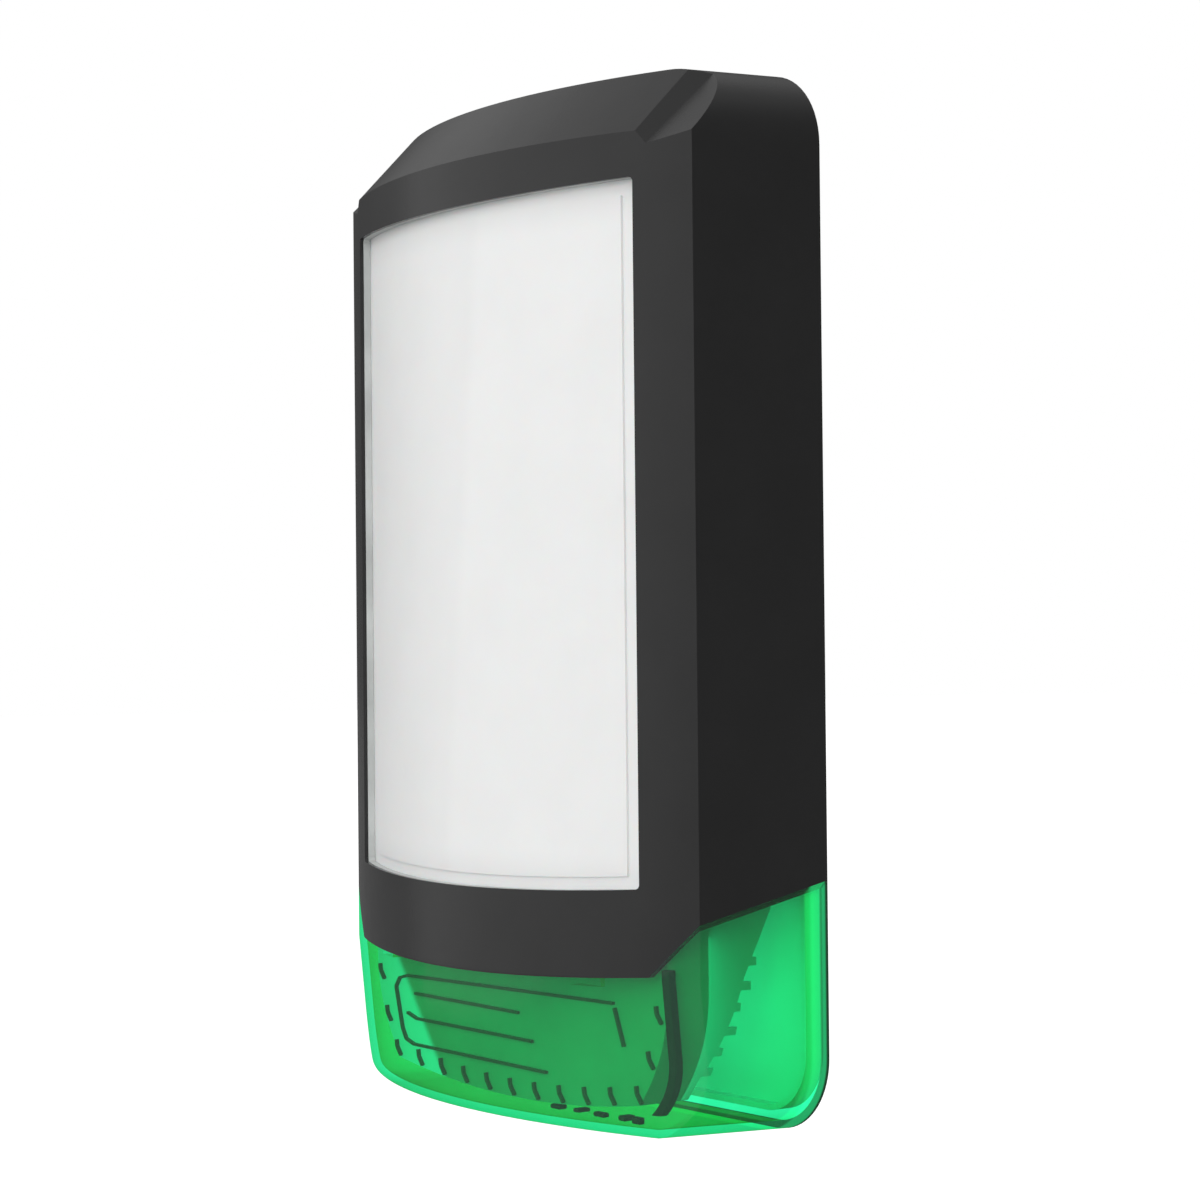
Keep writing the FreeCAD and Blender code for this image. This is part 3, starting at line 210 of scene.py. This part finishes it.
def solid_material(slot, colour, roughness, grain=1400.0, depth=0.02, shade=0.12, spread=0.06,
                   metallic=0.0, specular=0.5, coat=0.0, stretch=(1.0, 1.0, 1.0), under=0.0,
                   emission=None, glow=None, painted_shade_behind=None):
    """Moulded, rolled or printed surface: drifting shade, uneven gloss and a fine grain.

    grain is in cycles per metre, depth and under are relief in millimetres, stretch is how many times
    finer the patterns are along each axis, emission is a colour and a strength, glow is a painted glow
    split across a slanted line, and painted_shade_behind is the depth from the wall below which a
    painted shade darkens the moulding.
    """
    material, graph = start_material(slot)
    shader = graph.add("BsdfPrincipled")
    drift = graph.noise(38.0, 4.0, stretch)
    grain_noise = graph.noise(grain, 2.0, stretch)
    tone = graph.blend(graph.spread(drift, 0.0, 1.0), scaled(colour, 1.0 - shade),
                       scaled(colour, 1.0 + shade))
    # painted shade on the parts of the moulding nearer the wall
    if painted_shade_behind is not None:
        behind = graph.ramp(graph.place("Y"), -painted_shade_behind, -painted_shade_behind + MM, 0.0, 1.0)
        tone = graph.mix(behind, tone, scaled(colour, SIDE_PAINTED_SHADE))
    graph.join(tone, shader.inputs["Base Color"])
    gloss = graph.noise(grain * 0.11, 5.0, stretch)
    graph.join(graph.spread(gloss, roughness - spread, roughness + spread), shader.inputs["Roughness"])
    normal = graph.bump(grain_noise, depth * MM)
    if under:
        normal = graph.bump(graph.noise(60.0, 2.0), under * MM, normal)
    graph.join(normal, shader.inputs["Normal"])
    shader.inputs["Metallic"].default_value = metallic
    shader.inputs["Specular IOR Level"].default_value = specular
    shader.inputs["Coat Weight"].default_value = coat
    if emission:
        light_colour, strength = emission
        shader.inputs["Emission Color"].default_value = (*light_colour, 1.0)
        shader.inputs["Emission Strength"].default_value = strength
    # painted glow, split across a slanted line
    if glow:
        shader.inputs["Emission Color"].default_value = (*WHITE, 1.0)
        graph.join(slanted_split(graph, *glow), shader.inputs["Emission Strength"])
    finish_surface(graph, shader.outputs["BSDF"])
    return material


def painted_glow_opal_material(slot):
    """Opal acrylic with a painted glow: dimmer on one side of a slanting painted reflection line, with
    painted shade towards its ends.
    """
    material, graph = start_material(slot)
    shader = graph.add("BsdfPrincipled")
    cloud = graph.noise(45.0, 4.0)
    graph.join(graph.blend(graph.spread(cloud, 0.0, 1.0), *PANEL_COLOURS), shader.inputs["Base Color"])
    graph.join(graph.spread(graph.noise(400.0, 3.0), 0.30, 0.38), shader.inputs["Roughness"])
    graph.join(graph.bump(graph.noise(900.0, 2.0), 0.01 * MM), shader.inputs["Normal"])
    shader.inputs["Specular IOR Level"].default_value = 0.35
    shader.inputs["Subsurface Weight"].default_value = 0.2
    shader.inputs["Subsurface Scale"].default_value = 2.0 * MM
    # painted glow, dimmer on one side of a painted reflection line
    glow = slanted_split(graph, PANEL_LEAN, PANEL_SPLIT, PANEL_SPLIT_WIDTH,
                         PANEL_PAINTED_GLOW * PANEL_DIM_PART, PANEL_PAINTED_GLOW)
    from_middle = graph.reckon("ABSOLUTE", graph.reckon("SUBTRACT", graph.place("Z"), PANEL_MIDDLE))
    # painted shade towards the panel's top and bottom ends
    fade = graph.ramp(from_middle, PANEL_HALF_HEIGHT - PANEL_EDGE_FADE, PANEL_HALF_HEIGHT, 1.0, 0.0)
    shader.inputs["Emission Color"].default_value = (1.0, 1.0, 0.99, 1.0)
    graph.join(graph.reckon("MULTIPLY", glow, fade), shader.inputs["Emission Strength"])
    finish_surface(graph, shader.outputs["BSDF"])
    return material


def tinted_body(graph, ripple, colour, haze, haze_amount):
    """See-through body of a clear plastic, with a little milky haze in it."""
    through = graph.add("BsdfTransparent")
    graph.join(colour, through.inputs["Color"])
    milk = graph.add("BsdfDiffuse")
    milk.inputs["Color"].default_value = (*haze, 1.0)
    graph.join(ripple, milk.inputs["Normal"])
    hazy = graph.add("MixShader")
    hazy.inputs["Fac"].default_value = haze_amount
    graph.join(through.outputs["BSDF"], hazy.inputs[1])
    graph.join(milk.outputs["BSDF"], hazy.inputs[2])
    return hazy.outputs["Shader"]


def with_painted_lens_glow(graph, body):
    """Body with a painted glow near the lens's rear edge, stopping short of its cut edge."""
    # emission that paints the glow on the lens
    glow_paint = graph.add("Emission")
    glow_paint.inputs["Color"].default_value = (*LENS_PAINTED_GLOW, 1.0)
    start = graph.ramp(graph.place("Y"), -LENS_PAINTED_GLOW_START, -LENS_PAINTED_GLOW_FULL, 0.0, LENS_PAINTED_GLOW_STRENGTH)
    stop = graph.ramp(graph.place("Y"), -WALL_EDGE_START, -WALL_EDGE_END, 1.0, 0.0)
    graph.join(graph.reckon("MULTIPLY", start, stop), glow_paint.inputs["Strength"])
    both = graph.add("AddShader")
    graph.join(body, both.inputs[0])
    graph.join(glow_paint.outputs["Emission"], both.inputs[1])
    return both.outputs["Shader"]


def clear_material(slot, tint, edge_tint, haze, haze_amount, gloss_roughness, shine=0.8,
                   wall_edge=False):
    """Clear tinted plastic: see-through body, deeper in colour where light crosses it at a slant,
    with a faint haze and a polished skin. shine is the share of gloss at a grazing angle, and
    wall_edge adds a painted glow near the rear of the moulding and painted shade on the cut edge that
    faces the wall."""
    material, graph = start_material(slot)
    ripple = graph.bump(graph.noise(120.0, 2.0), 0.02 * MM)
    facing = graph.add("LayerWeight")
    facing.inputs["Blend"].default_value = 0.5
    graph.join(ripple, facing.inputs["Normal"])
    slant = graph.reckon("POWER", facing.outputs["Facing"], 3.0)
    cloud = graph.spread(graph.noise(55.0, 4.0), 0.0, 1.0)
    depth = graph.reckon("MULTIPLY_ADD", cloud, 0.05, slant, clamp=True)
    colour = graph.blend(depth, tint, edge_tint)
    # painted shade towards the cut edge that faces the wall
    if wall_edge:
        near_wall = graph.ramp(graph.place("Y"), -WALL_EDGE_START, -WALL_EDGE_END, 0.0, 1.0)
        colour = graph.mix(near_wall, colour, WALL_EDGE_PAINTED_SHADE)
    body = tinted_body(graph, ripple, colour, haze, haze_amount)
    if wall_edge:
        body = with_painted_lens_glow(graph, body)
    skin = graph.add("BsdfAnisotropic")
    skin.inputs["Roughness"].default_value = gloss_roughness
    graph.join(ripple, skin.inputs["Normal"])
    grazing = graph.reckon("POWER", facing.outputs["Facing"], 5.0)
    gloss = graph.remap(grazing, 0.0, 1.0, SKIN_AT_FRONT, shine)
    outside = graph.reckon("SUBTRACT", 1.0, graph.add("NewGeometry").outputs["Backfacing"])
    shader = graph.add("MixShader")
    graph.join(graph.reckon("MULTIPLY", gloss, outside), shader.inputs["Fac"])
    graph.join(body, shader.inputs[1])
    graph.join(skin.outputs["BSDF"], shader.inputs[2])
    finish_surface(graph, shader.outputs["Shader"])
    return material


def floor_material(slot):
    """Pale matt floor that looks white in the picture but throws little light back at the case."""
    material, graph = start_material(slot)
    shader = graph.add("BsdfPrincipled")
    cloud = graph.noise(3.0, 4.0)
    graph.join(graph.blend(graph.spread(cloud, 0.0, 1.0), *FLOOR_COLOURS), shader.inputs["Base Color"])
    shader.inputs["Roughness"].default_value = 0.9
    shader.inputs["Specular IOR Level"].default_value = 0.1
    graph.join(graph.bump(graph.noise(300.0, 2.0), 0.02 * MM), shader.inputs["Normal"])
    ray = graph.add("LightPath")
    shader.inputs["Emission Color"].default_value = (*WHITE, 1.0)
    graph.join(ray.outputs["Is Camera Ray"], shader.inputs["Emission Strength"])
    finish_surface(graph, shader.outputs["BSDF"])
    return material


finishes = {
    "black_case": solid_material("black_case", (0.028, 0.028, 0.0283), 0.26, 1900.0, 0.010, 0.05,
                                 spread=0.012, specular=0.20),
    "opal_panel": painted_glow_opal_material("opal_panel"),
    # the green lens carries a painted glow near its rear edge and painted shade on its cut edge
    "green_lens": clear_material("green_lens", (0.13, 0.955, 0.61), (0.03, 0.62, 0.28),
                                 (0.45, 0.58, 0.55), 0.050, 0.06, 0.08, wall_edge=True),
    "seal_rubber": solid_material("seal_rubber", (0.58, 0.60, 0.59), 0.75, 2600.0, 0.05, 0.15,
                                  specular=0.25),
    "white_plastic": solid_material("white_plastic", (0.78, 0.80, 0.79), 0.42, 1200.0, 0.02, 0.03,
                                    specular=0.4, under=0.05),
    "grey_plastic": solid_material("grey_plastic", (0.40, 0.42, 0.41), 0.40, 1200.0, 0.02, 0.08,
                                   specular=0.4, under=0.05),
    # the strobe housing's finish holds a painted glow on its left part and painted shade on its sides
    "strobe_housing": solid_material("strobe_housing", (0.54, 0.50, 0.54), 0.40, 1200.0, 0.02, 0.08,
                                     specular=0.4, under=0.05, glow=HOUSING_PAINTED_GLOW,
                                     painted_shade_behind=HOUSING_FRONT),
    "slate_plastic": solid_material("slate_plastic", (0.075, 0.085, 0.08), 0.45, 1400.0, 0.02, 0.1,
                                    specular=0.4),
    "black_plastic": solid_material("black_plastic", (0.012, 0.012, 0.013), 0.45, 1600.0, 0.03, 0.1,
                                    specular=0.4),
    "circuit_green": solid_material("circuit_green", (0.015, 0.12, 0.05), 0.30, 3000.0, 0.012, 0.15,
                                    specular=0.5),
    "white_board": solid_material("white_board", (0.75, 0.77, 0.75), 0.38, 2400.0, 0.012, 0.04),
    "chip_black": solid_material("chip_black", (0.018, 0.018, 0.020), 0.55, 3600.0, 0.02, 0.12),
    "led_lens": solid_material("led_lens", (0.85, 0.72, 0.30), 0.22, 1500.0, 0.01, 0.08, coat=0.4,
                               emission=((1.0, 0.93, 0.70), 0.4)),
    "steel": solid_material("steel", (0.56, 0.57, 0.58), 0.32, 2200.0, 0.012, 0.10, metallic=1.0,
                            stretch=(1.0, 1.0, 3.0)),
    "stainless": solid_material("stainless", (0.62, 0.61, 0.60), 0.28, 2600.0, 0.010, 0.08,
                                metallic=1.0, stretch=(1.0, 1.0, 4.0)),
    "brass": solid_material("brass", (0.70, 0.52, 0.22), 0.30, 2200.0, 0.012, 0.10, metallic=1.0),
    "terminal_blue": solid_material("terminal_blue", (0.02, 0.14, 0.42), 0.38, 1400.0, 0.02, 0.08),
    "cell_wrap": solid_material("cell_wrap", (0.05, 0.26, 0.10), 0.26, 900.0, 0.02, 0.10, coat=0.3,
                                stretch=(1.0, 1.0, 0.3)),
    "capacitor_sleeve": solid_material("capacitor_sleeve", (0.020, 0.030, 0.075), 0.28, 1200.0, 0.02,
                                       0.1, coat=0.2),
    "vial_fluid": clear_material("vial_fluid", (0.80, 0.96, 0.35), (0.60, 0.85, 0.20),
                                 (0.5, 0.7, 0.2), 0.12, 0.05),
    "grommet_rubber": solid_material("grommet_rubber", (0.022, 0.022, 0.022), 0.7, 2200.0, 0.05, 0.15,
                                     specular=0.25),
}

slot_of_node = {item["node"]: item["material_slot"] for item in frame["record"]["subparts"]}
body_of_node = {name: body for body, members in frame["record"]["behaviour"]["bodies"].items()
                for name in members}


def put_finish(piece, slot):
    """Gives every face of a piece the finish of one slot."""
    piece.data.materials.clear()
    piece.data.materials.append(finishes[slot])


# the strobe housing gets its own finish, which holds its painted glow and painted shade
finish_of_node = dict(slot_of_node, strobe_housing="strobe_housing")
for name, node in nodes.items():
    put_finish(node, finish_of_node[name])


# ---------------------------------------------------------------- finished mouldings


SHARP_ANGLE = 24.0          # edges sharper than this are rounded, in degrees
CRISP_ANGLE = 32.0          # edges sharper than this stay crisp in the shading
MERGE_DISTANCE = 0.002      # in millimetres
FLAT_ANGLE = 0.4            # faces closer than this to one plane are joined


def softened(node, width):
    """Copy of a CAD part with its sharp edges rounded, shown in the part's place."""
    mesh = nodes[node].data.copy()
    work = bmesh.new()
    work.from_mesh(mesh)
    bmesh.ops.remove_doubles(work, verts=work.verts, dist=MERGE_DISTANCE * MM)
    bmesh.ops.dissolve_limit(work, angle_limit=math.radians(FLAT_ANGLE), verts=work.verts,
                             edges=work.edges, use_dissolve_boundaries=False)
    work.to_mesh(mesh)
    work.free()
    piece = bpy.data.objects.new(node + "_finished", mesh)
    scene.collection.objects.link(piece)
    round_edges(piece, width)
    stand_in(piece, node)


def stand_in(piece, node):
    """Gives a piece the finish, slot and body of a CAD part, and shows it in the part's place."""
    put_finish(piece, finish_of_node[node])
    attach(piece, body_of_node[node])
    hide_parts(node)


def round_edges(piece, width, segments=2):
    """Rounds the sharp edges of a piece by a width in millimetres."""
    bevel = piece.modifiers.new("edges", "BEVEL")
    bevel.width = width * MM
    bevel.segments = segments
    bevel.limit_method = "ANGLE"
    bevel.angle_limit = math.radians(SHARP_ANGLE)
    bevel.use_clamp_overlap = True
    bevel.miter_outer = "MITER_ARC"
    keep_modified(piece)
    smooth_by_angle(piece, CRISP_ANGLE)
    weighted = piece.modifiers.new("normals", "WEIGHTED_NORMAL")
    weighted.keep_sharp = True
    keep_modified(piece)


def keep_modified(piece):
    """Turns a piece's modifiers into its own mesh."""
    graph = bpy.context.evaluated_depsgraph_get()
    result = bpy.data.meshes.new_from_object(piece.evaluated_get(graph))
    piece.modifiers.clear()
    piece.data = result


def smooth_by_angle(piece, degrees):
    """Smooth shading, with edges sharper than an angle kept crisp."""
    mesh = piece.data
    mesh.shade_smooth()
    work = bmesh.new()
    work.from_mesh(mesh)
    for edge in work.edges:
        edge.smooth = edge.calc_face_angle(0.0) < math.radians(degrees)
    work.to_mesh(mesh)
    work.free()


# width of the rounding of each moulding's sharp edges, in millimetres
EDGE_ROUNDS = {"cover": 0.5, "lens": 0.6, "panel": 0.25, "strobe_housing": 0.25, "lens_rib": 0.3,
               "back_plate": 0.4, "hinge_brackets": 0.4, "battery_cradle": 0.3, "board_chips": 0.15,
               "terminal_block": 0.2, "level_holder": 0.3, "cover_tamper_switch": 0.25,
               "wall_tamper_switch": 0.25, "battery_strap": 0.25}
for name, width in EDGE_ROUNDS.items():
    softened(name, width)


def springy(tamper):
    """Copy of a tamper spring with a mesh of its own, shown in the part's place."""
    node = tamper + "_spring"
    coil = bpy.data.objects.new(node + "_finished", nodes[node].data.copy())
    scene.collection.objects.link(coil)
    stand_in(coil, node)
    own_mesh(coil)


springy("cover_tamper")
springy("wall_tamper")

# small dark blocks just clear of the lens's floor, under the strobe housing: middle, then size, in mm
LENS_STOPS = (((23.0, -50.0, -162.6), (5.0, 3.4, 1.5)),
              ((33.0, -48.0, -162.7), (3.0, 5.0, 1.3)),
              ((45.0, -49.0, -162.6), (5.5, 2.6, 1.5)),
              ((56.0, -47.0, -162.5), (3.4, 4.6, 1.7)),
              ((64.0, -48.5, -162.2), (4.0, 2.4, 2.2)))
STOP_ROUND = 0.5
STOP_SEGMENTS = 3
for number, (middle, extent) in enumerate(LENS_STOPS, start=1):
    block = bmesh.new()
    bmesh.ops.create_cube(block, size=1.0, matrix=Matrix.Translation(Vector(middle) * MM)
                          @ Matrix.Diagonal((*(Vector(extent) * MM), 1.0)))
    mesh = bpy.data.meshes.new("lens_stop")
    block.to_mesh(mesh)
    block.free()
    stop = bpy.data.objects.new("lens_stop_%d" % number, mesh)
    scene.collection.objects.link(stop)
    round_edges(stop, STOP_ROUND, STOP_SEGMENTS)
    put_finish(stop, "black_plastic")
    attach(stop, body_of_node["lens"])


# ---------------------------------------------------------------- camera, floor and light

EYE = Vector((0.78937, -0.58836, -0.01466))
AZIMUTH = math.radians(54.0)
ELEVATION = math.radians(-0.965)
ROLL = math.radians(-0.549)
FOCAL = 2885.47             # in pixels of a frame 1200 wide
FRAME_WIDTH = 1200.0
SENSOR = 36.0               # in millimetres
FAR_CLIP = 200.0

forward = Vector((-math.sin(AZIMUTH) * math.cos(ELEVATION), math.cos(AZIMUTH) * math.cos(ELEVATION),
                  -math.sin(ELEVATION)))
level_right = Vector((math.cos(AZIMUTH), math.sin(AZIMUTH), 0.0))
level_up = level_right.cross(forward)
right = math.cos(ROLL) * level_right + math.sin(ROLL) * level_up
up = right.cross(forward)

camera_data = bpy.data.cameras.new("photo_camera")
camera_data.sensor_width = SENSOR
camera_data.lens = FOCAL / FRAME_WIDTH * SENSOR
camera_data.clip_end = FAR_CLIP
camera = bpy.data.objects.new("photo_camera", camera_data)
scene.collection.objects.link(camera)
camera.matrix_world = Matrix.Translation(EYE) @ Matrix((right, up, -forward)).transposed().to_4x4()
scene.camera = camera

FLOOR_Z = -0.75
FLOOR_SIZE = 60.0
floor_mesh = bpy.data.meshes.new("floor")
half = 0.5 * FLOOR_SIZE
floor_mesh.from_pydata([(-half, -half, FLOOR_Z), (half, -half, FLOOR_Z), (half, half, FLOOR_Z),
                        (-half, half, FLOOR_Z)], [], [(0, 1, 2, 3)])
floor = bpy.data.objects.new("floor", floor_mesh)
scene.collection.objects.link(floor)
finishes["floor"] = floor_material("floor")
put_finish(floor, "floor")


def softbox(name, place, target, width, height, power, colour=WHITE):
    """Rectangular studio light that faces a point, with its power in watts."""
    data = bpy.data.lights.new(name, "AREA")
    data.shape = "RECTANGLE"
    data.size = width
    data.size_y = height
    data.energy = power
    data.color = colour
    light = bpy.data.objects.new(name, data)
    scene.collection.objects.link(light)
    light.location = Vector(place)
    light.rotation_euler = (Vector(target) - Vector(place)).to_track_quat("-Z", "Y").to_euler()


MIDDLE = (0.0, 0.0, 0.0)
LENS_CORNER = (0.10, -0.05, -0.13)
softbox("key", (0.3, -1.6, 1.3), MIDDLE, 1.4, 1.4, 6.0)
softbox("fill", (1.5, -1.9, 0.4), MIDDLE, 1.4, 1.4, 21.0)
softbox("left_fill", (-1.3, -1.9, 0.2), MIDDLE, 3.2, 1.8, 11.0)
softbox("lens_corner_light", (1.06, -0.77, -0.28), LENS_CORNER, 0.30, 0.12, 0.4)

# faint glow of the strobe behind the lens
STROBE_PITCH = 0.070
STROBE_DEPTH = 0.036
STROBE_HEIGHT = -0.132
STROBE_SIZE = 0.055
STROBE_POWER = 0.014
STROBE_COLOUR = (0.45, 1.0, 0.75)
for number in (1, 2, 3):
    across = STROBE_PITCH * (number - 2)
    softbox("strobe_glow_%d" % number, (across, -STROBE_DEPTH, STROBE_HEIGHT),
            (across, 0.0, STROBE_HEIGHT), STROBE_SIZE, STROBE_SIZE, STROBE_POWER, STROBE_COLOUR)

BRIGHT_SIDE = (-0.10, -0.45, 0.885)   # the studio is brighter above and in front of the case
SKY_DIM = 0.10
SKY_BRIGHT = 0.74
SKY_DIM_END = 0.12                    # how far a direction agrees with BRIGHT_SIDE, from -1 to 1
SKY_BRIGHT_START = 0.66
world = bpy.data.worlds.new("studio")
world.use_nodes = True
scene.world = world
sky = Graph(world.node_tree)
direction = sky.add("TexCoord")
facing = sky.add("VectorMath", operation="DOT_PRODUCT")
sky.join(direction.outputs["Generated"], facing.inputs[0])
facing.inputs[1].default_value = BRIGHT_SIDE
lighting = sky.add("Background")
lighting.inputs["Color"].default_value = (*WHITE, 1.0)
brightness = sky.ramp(facing.outputs["Value"], SKY_DIM_END, SKY_BRIGHT_START, SKY_DIM, SKY_BRIGHT)
sky.join(brightness, lighting.inputs["Strength"])
backdrop = sky.add("Background")
backdrop.inputs["Color"].default_value = (*WHITE, 1.0)
ray = sky.add("LightPath")
choice = sky.add("MixShader")
sky.join(ray.outputs["Is Camera Ray"], choice.inputs["Fac"])
sky.join(lighting.outputs["Background"], choice.inputs[1])
sky.join(backdrop.outputs["Background"], choice.inputs[2])
output = sky.add("OutputWorld")
sky.join(choice.outputs["Shader"], output.inputs["Surface"])

scene.view_settings.view_transform = "Standard"
